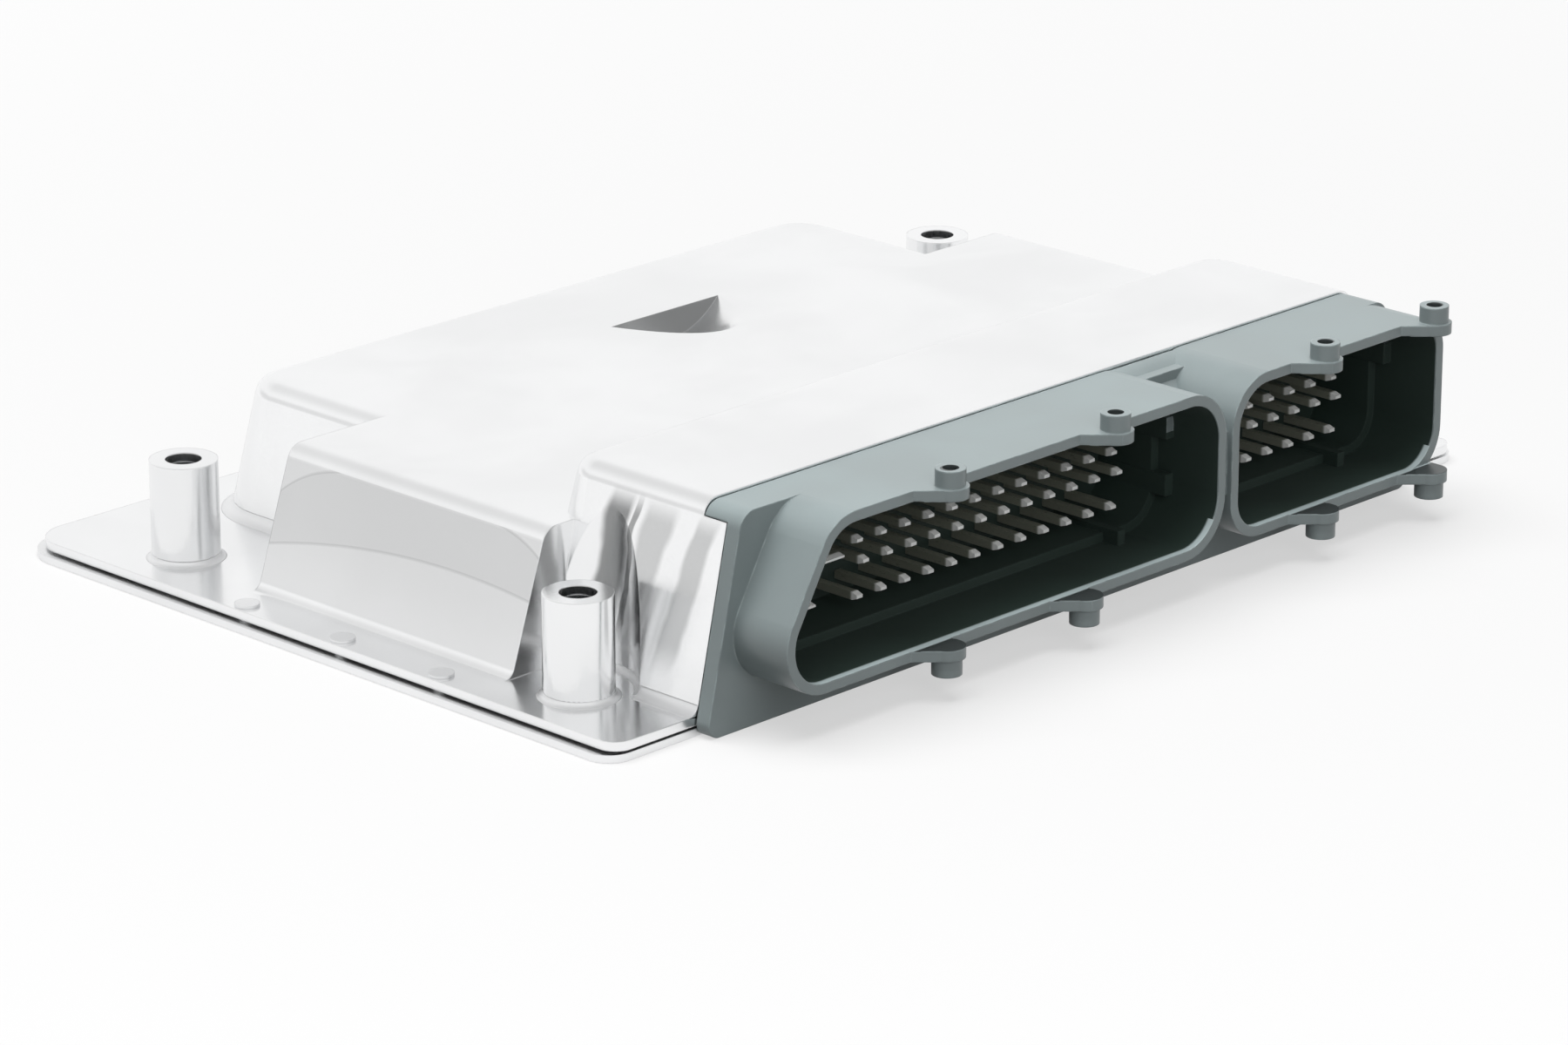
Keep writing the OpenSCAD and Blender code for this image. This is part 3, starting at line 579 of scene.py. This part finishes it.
def corner_painted_reflection(n, place, normal):
    """Painted reflections in the front corners: streaks that run down and back along a slanted depth, which
    a coarse noise bends. Each is even in its core and fades to its half width."""
    depth = n.math("SUBTRACT", place["Y"], FRONT_Y)
    bend = n.between(n.noise(n.place(), Scale=90.0), -STREAK_BEND, STREAK_BEND)
    slant = n.total(depth, n.product(place["Z"], STREAK_SLANT), bend)
    corner = n.product(n.within(depth, *STREAK_DEPTH), n.within(n.size(place["X"]), *STREAK_SIDE))
    upright = n.below(n.size(normal["Z"]), STREAK_FACING)
    height = n.product(n.smooth(place["Z"], *STREAK_FOOT), n.smooth(place["Z"], *STREAK_HEAD))
    tone = 0.0
    for middle, half, dark in STREAKS:
        streak = n.smooth(n.apart(slant, middle * MM), half * MM, STREAK_CORE * half * MM)
        tone = n.total(tone, n.product(streak, dark))
    return n.product(corner, upright, height, tone)


def scoop_painted_shade(n, place, normal):
    """Painted shade in the half-moon scoop: an even dark tone on its rear wall."""
    wall = n.product(n.below(normal["Y"], -SCOOP_SHADE_FACING), n.below(n.apart(place["Y"], THUMB_Y), SCOOP_SHADE_HALF))
    return n.product(wall, n.below(n.apart(place["X"], THUMB_X), THUMB_HALF), SCOOP_SHADE_TONE)


def lid_painted_reflection_and_shade(n):
    """Painted reflections and shade on the lid, from the place and the turn of a face: the painted
    reflections of the side panels and the front corners and the painted shade in the half-moon scoop
    together."""
    place, normal = n.split(n.place()), n.split(n.face())
    marks = [part(n, place, normal) for part in (panel_painted_reflection, corner_painted_reflection, scoop_painted_shade)]
    return n.math("MINIMUM", n.total(*marks), 1.0)


def metal_finish(name, colour, roughness, spread, stretch, scale, dent, edge, marks=None):
    """Bare metal: drawn or rolled grain in its gloss, cloudy handling marks and soft edges. marks, where
    given, builds painted reflections and shade that darken it."""
    finish = Finish(name, Metallic=1.0)
    n = finish.nodes
    grain = finish.group("surface_grain", Scale=scale, Stretch=stretch, Marks_Scale=34.0)
    skin = n.blend(grain["Marks"], rgba(colour), tint(colour, times=0.95))
    # Painted reflections and shade darken the skin where marks gives them.
    if marks:
        skin = n.blend(marks(n), skin, PAINTED_REFLECTION_AND_SHADE_COLOUR)
    finish.put("Base Color", skin)
    gloss = n.total(n.product(grain["Grain"], GRAIN_SHARE), n.product(grain["Marks"], MARKS_SHARE))
    finish.put("Roughness", n.between(gloss, roughness - spread, roughness + spread))
    finish.bump(grain["Grain"], strength=dent, distance=GRAIN_DEPTH, radius=edge)
    return finish.material


def moulded_finish(name, colour, roughness, scale=1600.0, edge=0.15 * MM):
    """Moulded plastic or rubber: fine spark texture, cloudy gloss and a paler worn edge."""
    finish = Finish(name)
    n = finish.nodes
    grain = finish.group("surface_grain", Scale=scale, Marks_Scale=90.0)
    wear = finish.group("edge_wear", Amount=0.5)["Wear"]
    finish.put("Base Color", n.blend(wear, rgba(colour), tint(colour, times=1.6, plus=0.02)))
    finish.put("Roughness", n.between(grain["Marks"], roughness - 0.05, roughness + 0.08))
    finish.bump(grain["Grain"], strength=0.15, distance=GRAIN_DEPTH, radius=edge)
    return finish.material


class ECU_OT_shared_effects(bpy.types.Operator):
    """Build the node groups that the finishes share"""
    bl_idname = "ecu.shared_effects"
    bl_label = "Shared Effects"

    def execute(self, context):
        grain_group()
        wear_group()
        socket_group()
        return {"FINISHED"}


class ECU_OT_housing(bpy.types.Operator):
    """Finish the lid and the base plate, and add the drawn foot radii"""
    bl_idname = "ecu.housing"
    bl_label = "Housing"

    def execute(self, context):
        look = context.scene.ecu_housing
        drawn = metal_finish("drawn_aluminium", look.metal, look.lid_roughness, spread=0.06,
                             stretch=(1.0, 14.0, 14.0), scale=120.0, dent=0.12, edge=0.3 * MM,
                             marks=lid_painted_reflection_and_shade)
        rolled = metal_finish("rolled_aluminium", look.metal, look.base_roughness, spread=0.08,
                              stretch=(14.0, 1.0, 14.0), scale=140.0, dent=0.2, edge=0.2 * MM)
        stretched = metal_finish("stretched_aluminium", look.metal, roughness=0.46, spread=0.06,
                                 stretch=(1.0, 1.0, 14.0), scale=120.0, dent=0.1, edge=0.2 * MM)
        dress(drawn, "lid")
        dress(rolled, "base_plate", "lid_rivets")
        mesh = mesh_of("lid_foot_radii", self.foot_grids(look.foot_radius, look.pocket_radius))
        add_piece("lid_foot_radii", mesh, stretched)
        return {"FINISHED"}

    @staticmethod
    def foot_grids(foot, pocket):
        """Feet of the front walls, the corner pockets, the tail and the columns, on both sides."""
        lean = math.tan(DRAFT) * RIM_TOP
        wall_x = BODY_HALF - lean
        meet = math.asin((POCKET_CENTRE[0] - wall_x) / POCKET_R)
        pocket_start = POCKET_CENTRE[1] - POCKET_R * math.cos(meet)
        panel_angle = math.asin((PANEL_Y[0] - POCKET_CENTRE[1]) / POCKET_R)
        tail_half = BODY_HALF - TAIL_IN
        side_x = tail_half - lean
        corner = (tail_half - CORNER_R, BODY_END - CORNER_R)

        wall, wall_out = straight((wall_x, LID_LOW.y), (wall_x, pocket_start), (1, 0))
        hollow, hollow_out = arc(POCKET_CENTRE, POCKET_R, math.pi - panel_angle, 1.5 * math.pi - meet,
                                 steps=25)
        # The tail's corner starts where its straight side ends, so that end is left to the corner.
        side, side_out = straight((side_x, PANEL_Y[1]), (side_x, corner[1]), (1, 0))
        turn, turn_out = arc(corner, CORNER_R - lean, 0, math.pi / 2, steps=17)
        tail, tail_out = np.concatenate([side[:1], turn]), np.concatenate([side_out[:1], turn_out])

        grids = [sweep_foot(wall, wall_out, foot, DRAFT), sweep_foot(hollow, -hollow_out, pocket, 0.0),
                 sweep_foot(tail, tail_out, foot, DRAFT)]
        for y in COLUMN_Y:
            ring, ring_out = arc((COLUMN_X, y), COLUMN_R, 0, 2 * math.pi, steps=49)
            grids.append(sweep_foot(ring, ring_out, pocket, 0.0))
        return [grid * side_of for grid in grids for side_of in BOTH_SIDES]


class ECU_OT_header(bpy.types.Operator):
    """Finish the moulded header, with painted shade on ledges and sockets, and add the web behind its valley
    """
    bl_idname = "ecu.header"
    bl_label = "Header"

    def execute(self, context):
        look = context.scene.ecu_header
        finish = Finish("header_plastic")
        n = finish.nodes
        grain = finish.group("surface_grain", Scale=1500.0, Marks_Scale=45.0)
        wear = finish.group("edge_wear", Radius=0.4 * MM, Amount=0.5)["Wear"]
        socket = finish.group("socket_depth")
        skin = n.blend(grain["Marks"], rgba(look.plastic), tint(look.plastic, times=1.18))
        # Paler on worn edges, and a painted highlight on the sockets' lower lips.
        skin = n.blend(n.math("MAXIMUM", wear, socket["Lip"]), skin, tint(look.plastic, times=3.0))
        # Painted shade on the tops of the lower ledges and in the stud bores.
        skin = n.blend(self.painted_ledge_shade(n), skin, tint(look.plastic, times=0.25))
        # Painted shade deep inside the sockets.
        finish.put("Base Color", n.blend(socket["Inside"], skin, rgba(look.socket)))
        gloss = n.between(grain["Marks"], look.roughness - 0.06, look.roughness + 0.06)
        finish.put("Roughness", n.math("ADD", gloss, n.product(socket["Inside"], 0.4), clamp=True))
        finish.bump(grain["Grain"], strength=0.12, distance=GRAIN_DEPTH, radius=0.35 * MM)
        dress(finish.material, "connector_header")
        add_piece("valley_web", mesh_of("valley_web", [self.web_grid()]), finish.material)
        return {"FINISHED"}

    @staticmethod
    def painted_ledge_shade(n):
        """1 where shade is painted in front of the rim: on the tops of the lower ledges and in the studs."""
        place, normal = n.split(n.place()), n.split(n.face())
        ahead = n.smooth(place["Y"], *SHADE_AHEAD)
        ledges = n.product(ahead, n.below(place["Z"], LEDGE_Z), n.above(normal["Z"], FACING))
        across = n.fold("MINIMUM", [1.0] + [n.apart(place["X"], stud_x) for stud_x in STUD_X])
        along = n.math("SUBTRACT", place["Y"], STUD_Y)
        away = n.math("SQRT", n.total(n.product(across, across), n.product(along, along)))
        return n.math("MAXIMUM", ledges, n.below(away, STUD_BORE_R))

    @staticmethod
    def web_grid():
        """The web that closes the valley between the shrouds: a section in depth and height, rising as
        an S curve from the valley's floor to the top plate, carried across X. At height z it reaches
        from one shroud's rounded edge to the other, and a little into both."""
        t = np.linspace(0, 1, 13)
        rise = t * t * (3 - 2 * t)
        start, end = WEB_DEPTH
        y = FRONT_Y + np.append(start + (end - start) * t, end)
        z = np.append(VALLEY_FLOOR + (PLATE_Z - WEB_SUNK - VALLEY_FLOOR) * rise, VALLEY_FLOOR)
        over = np.clip(z - (PLATE_Z - SHROUD_R), 0, SHROUD_R)
        reach = SHROUD_R - np.sqrt(SHROUD_R ** 2 - over ** 2) + VALLEY_HALF + WEB_OVERLAP
        across = np.linspace(-1, 1, 9)
        x = SOCKET_SPLIT_X + across[:, None] * reach[None, :]
        return np.stack([x, np.broadcast_to(y, x.shape), np.broadcast_to(z, x.shape)], axis=-1)


class ECU_OT_contacts(bpy.types.Operator):
    """Finish the pins and blades: plated, with a painted highlight at the tips and dull further in"""
    bl_idname = "ecu.contacts"
    bl_label = "Contacts"

    def execute(self, context):
        look = context.scene.ecu_header
        finish = Finish("tinned_contacts")
        n = finish.nodes
        grain = finish.group("surface_grain", Scale=700.0, Stretch=(6.0, 1.0, 6.0))
        depth = n.math("SUBTRACT", n.split(n.place())["Y"], PIN_TIP_Y)
        dull = n.smooth(depth, low=0.9 * MM, high=1.5 * MM)
        # Painted highlight at the tips, plated colour further in.
        finish.put("Base Color", n.blend(dull, rgba(look.tip_highlight), rgba(look.tin)))
        finish.put("Metallic", n.product(dull, 0.25))
        finish.put("Roughness", n.between(grain["Grain"], low=0.2, high=0.42))
        finish.bump(grain["Grain"], strength=0.1, distance=0.02 * MM, radius=0.12 * MM)
        rows = [f"{socket}_pins_{row}" for socket in ("large", "small")
                for row in ("top", "upper", "lower", "bottom")]
        dress(finish.material, *rows, "power_blades")
        return {"FINISHED"}


class ECU_OT_fasteners(bpy.types.Operator):
    """Finish the screws, posts and sleeves"""
    bl_idname = "ecu.fasteners"
    bl_label = "Fasteners"

    def execute(self, context):
        zinc = metal_finish("zinc_plate", (0.62, 0.63, 0.64), roughness=0.3, spread=0.1,
                            stretch=(1.0, 1.0, 1.0), scale=1800.0, dent=0.1, edge=0.15 * MM)
        dress(zinc, "board_posts", "board_screws", "header_screws", "spacer_sleeves")
        return {"FINISHED"}


class ECU_OT_seals(bpy.types.Operator):
    """Finish the sealing beads and the soft heat pads"""
    bl_idname = "ecu.seals"
    bl_label = "Seals"

    def execute(self, context):
        rubber = moulded_finish("seal_rubber", (0.02, 0.02, 0.021), roughness=0.62)
        dress(rubber, "header_seal", "lid_seal")
        pad = moulded_finish("heat_pad", (0.42, 0.5, 0.58), roughness=0.7, scale=900.0)
        dress(pad, "thermal_pads")
        return {"FINISHED"}


class ECU_OT_board(bpy.types.Operator):
    """Finish the circuit board: coated copper tracks under solder mask"""
    bl_idname = "ecu.board"
    bl_label = "Circuit Board"

    def execute(self, context):
        mask = context.scene.ecu_inside.solder_mask
        finish = Finish("solder_mask", Roughness=0.32)
        n = finish.nodes
        tracks = n.add("ShaderNodeTexBrick", {"offset": 0.37, "squash": 1.6}, Vector=n.place(), Scale=110.0,
                       Mortar_Size=0.09, Mortar_Smooth=0.2).outputs["Fac"]
        finish.put("Base Color", n.blend(tracks, rgba(mask), tint(mask, times=1.9, plus=0.01)))
        finish.bump(tracks, strength=0.3, distance=0.04 * MM)
        dress(finish.material, "circuit_board")
        return {"FINISHED"}


class ECU_OT_board_parts(bpy.types.Operator):
    """Finish the parts on the board"""
    bl_idname = "ecu.board_parts"
    bl_label = "Board Parts"

    def execute(self, context):
        look = context.scene.ecu_inside
        package = moulded_finish("chip_package", look.package, roughness=0.5, scale=2400.0)
        dress(package, "microcontroller", "memory_chip", "driver_chips", "ignition_transistors",
              "voltage_regulator", "interface_chips", "suppressor_diode")
        can = metal_finish("drawn_can", (0.8, 0.8, 0.81), roughness=0.28, spread=0.08,
                           stretch=(1.0, 1.0, 8.0), scale=400.0, dent=0.1, edge=0.2 * MM)
        dress(can, "crystal", "buffer_capacitors")
        ferrite = moulded_finish("ferrite", (0.06, 0.06, 0.065), roughness=0.55, scale=1100.0)
        dress(ferrite, "inductor")
        ceramic = moulded_finish("fired_ceramic", (0.33, 0.22, 0.12), roughness=0.4, scale=2000.0)
        dress(ceramic, "filter_capacitors")
        return {"FINISHED"}


class ECU_OT_stage(bpy.types.Operator):
    """Set up the table, the light and the camera"""
    bl_idname = "ecu.stage"
    bl_label = "Stage"

    def execute(self, context):
        look = context.scene.ecu_stage
        self.table(look)
        self.sky(look)
        self.soft_light("key_light", KEY_PLACE, KEY_SIZE, look.key_power)
        self.soft_light("fill_light", FILL_PLACE, FILL_SIZE, look.fill_power)
        self.camera(context.scene, look)
        context.scene.view_settings.view_transform = "Standard"
        return {"FINISHED"}

    @staticmethod
    def seen(nodes):
        """1 for what the camera, a mirror or glass sees, 0 for the light that reaches a surface."""
        path = nodes.add("ShaderNodeLightPath").outputs
        mirrored = nodes.math("MAXIMUM", path["Is Glossy Ray"], path["Is Transmission Ray"])
        return nodes.math("MAXIMUM", path["Is Camera Ray"], mirrored)

    def table(self, look):
        """A wide flat table under the unit, seen as white with the unit's shadow on it. It glows more
        further out, where the lamp lights it less."""
        corners = [(x * TABLE_HALF, y * TABLE_HALF, CAD_BOX[0][2])
                   for x, y in ((-1, -1), (1, -1), (1, 1), (-1, 1))]
        mesh = bpy.data.meshes.new("table")
        mesh.from_pydata(corners, [], [(0, 1, 2, 3)])
        finish = Finish("table_white", Base_Color=rgba(look.floor), Roughness=0.9,
                        Specular_IOR_Level=0.0, Emission_Color=WHITE)
        n = finish.nodes
        far = n.add("ShaderNodeVectorMath", {"operation": "LENGTH"}, in0=n.place()).outputs["Value"]
        lit = n.math("DIVIDE", 1.0, n.total(1.0, n.product(far, far, LAMP_FALL)))
        glow = n.math("SUBTRACT", GLOW_FAR, n.product(lit, lit, GLOW_LOSS))
        finish.put("Emission Strength", n.product(self.seen(n), glow))
        mesh.materials.append(finish.material)
        table = bpy.data.objects.new("table", mesh)
        bpy.context.scene.collection.objects.link(table)

    def sky(self, look):
        """Even light from all round, seen as white. In mirrors the room has two soft grey gaps between
        its white walls, low over the horizon, one to the back left and one to the front right, and a
        ceiling that darkens overhead."""
        world = bpy.data.worlds.new("white_room")
        world.use_nodes = True
        bpy.context.scene.world = world
        n = Nodes(world.node_tree)
        way = n.split(n.add("ShaderNodeTexCoord").outputs["Generated"])
        low = n.product(n.smooth(way["Z"], *GAP_FOOT), n.smooth(way["Z"], *GAP_HEAD))
        gap = n.product(low, n.smooth(n.apart(way["Y"], way["X"]), *GAP_SIDE))
        ceiling = n.smooth(way["Z"], *CEILING_RISE)
        shade = n.total(n.product(gap, look.gap), n.product(ceiling, look.ceiling))
        mirrored = n.add("ShaderNodeLightPath").outputs["Is Glossy Ray"]
        white = n.between(self.seen(n), look.sky, 1.0)
        background = world.node_tree.nodes["Background"]
        n.put(background, "Color", WHITE)
        n.put(background, "Strength", n.math("SUBTRACT", white, n.product(shade, mirrored)))

    @staticmethod
    def soft_light(name, place, size, power):
        """A square soft lamp aimed at the unit, which metal does not mirror."""
        lamp = bpy.data.lights.new(name, "AREA")
        lamp.size = size
        lamp.energy = power
        light = bpy.data.objects.new(name, lamp)
        light.location = place
        light.visible_glossy = False
        light.rotation_euler = (-light.location).to_track_quat("-Z", "Y").to_euler()
        bpy.context.scene.collection.objects.link(light)

    @staticmethod
    def camera(scene, look):
        """A long lens at the azimuth and elevation of the view, aimed at the target."""
        lens = bpy.data.cameras.new("camera")
        lens.lens = look.lens
        lens.sensor_width = 36.0
        flat, high = math.cos(look.elevation), math.sin(look.elevation)
        back = Vector((flat * math.sin(look.azimuth), -flat * math.cos(look.azimuth), high))
        right = Vector((0, 0, 1)).cross(back).normalized()
        turn = Matrix((right, back.cross(right), back)).transposed()
        eye = bpy.data.objects.new("camera", lens)
        eye.matrix_world = Matrix.Translation(Vector(look.target) + look.distance * back) @ turn.to_4x4()
        scene.collection.objects.link(eye)
        scene.camera = eye


class ECU_PT_panel(bpy.types.Panel):
    """Lists the steps and the values that they read"""
    bl_idname = "ECU_PT_panel"
    bl_label = "Control Unit"
    bl_space_type = "VIEW_3D"
    bl_region_type = "UI"
    bl_category = "Control Unit"

    def draw(self, context):
        for operator in OPERATORS:
            self.layout.operator(operator.bl_idname)
        for key in LOOKS:
            box = self.layout.box()
            look = getattr(context.scene, key)
            for name in look.bl_rna.properties.keys():
                if name not in {"rna_type", "name"}:
                    box.prop(look, name)


OPERATORS = (ECU_OT_shared_effects, ECU_OT_housing, ECU_OT_header, ECU_OT_contacts, ECU_OT_fasteners,
             ECU_OT_seals, ECU_OT_board, ECU_OT_board_parts, ECU_OT_stage)
LOOKS = {
    "ecu_housing": HousingLook,
    "ecu_header": HeaderLook,
    "ecu_inside": InsideLook,
    "ecu_stage": StageLook,
}


def register():
    """Registers the looks, the operators and the panel."""
    for key, look in LOOKS.items():
        bpy.utils.register_class(look)
        setattr(bpy.types.Scene, key, PointerProperty(type=look))
    for operator in OPERATORS:
        bpy.utils.register_class(operator)
    bpy.utils.register_class(ECU_PT_panel)


def unregister():
    """Takes all of them away again."""
    bpy.utils.unregister_class(ECU_PT_panel)
    for operator in reversed(OPERATORS):
        bpy.utils.unregister_class(operator)
    for key, look in LOOKS.items():
        delattr(bpy.types.Scene, key)
        bpy.utils.unregister_class(look)


def main():
    """Runs every step in order."""
    register()
    bpy.ops.ecu.shared_effects()
    bpy.ops.ecu.housing()
    bpy.ops.ecu.header()
    bpy.ops.ecu.contacts()
    bpy.ops.ecu.fasteners()
    bpy.ops.ecu.seals()
    bpy.ops.ecu.board()
    bpy.ops.ecu.board_parts()
    bpy.ops.ecu.stage()


if __name__ == "__main__":
    main()
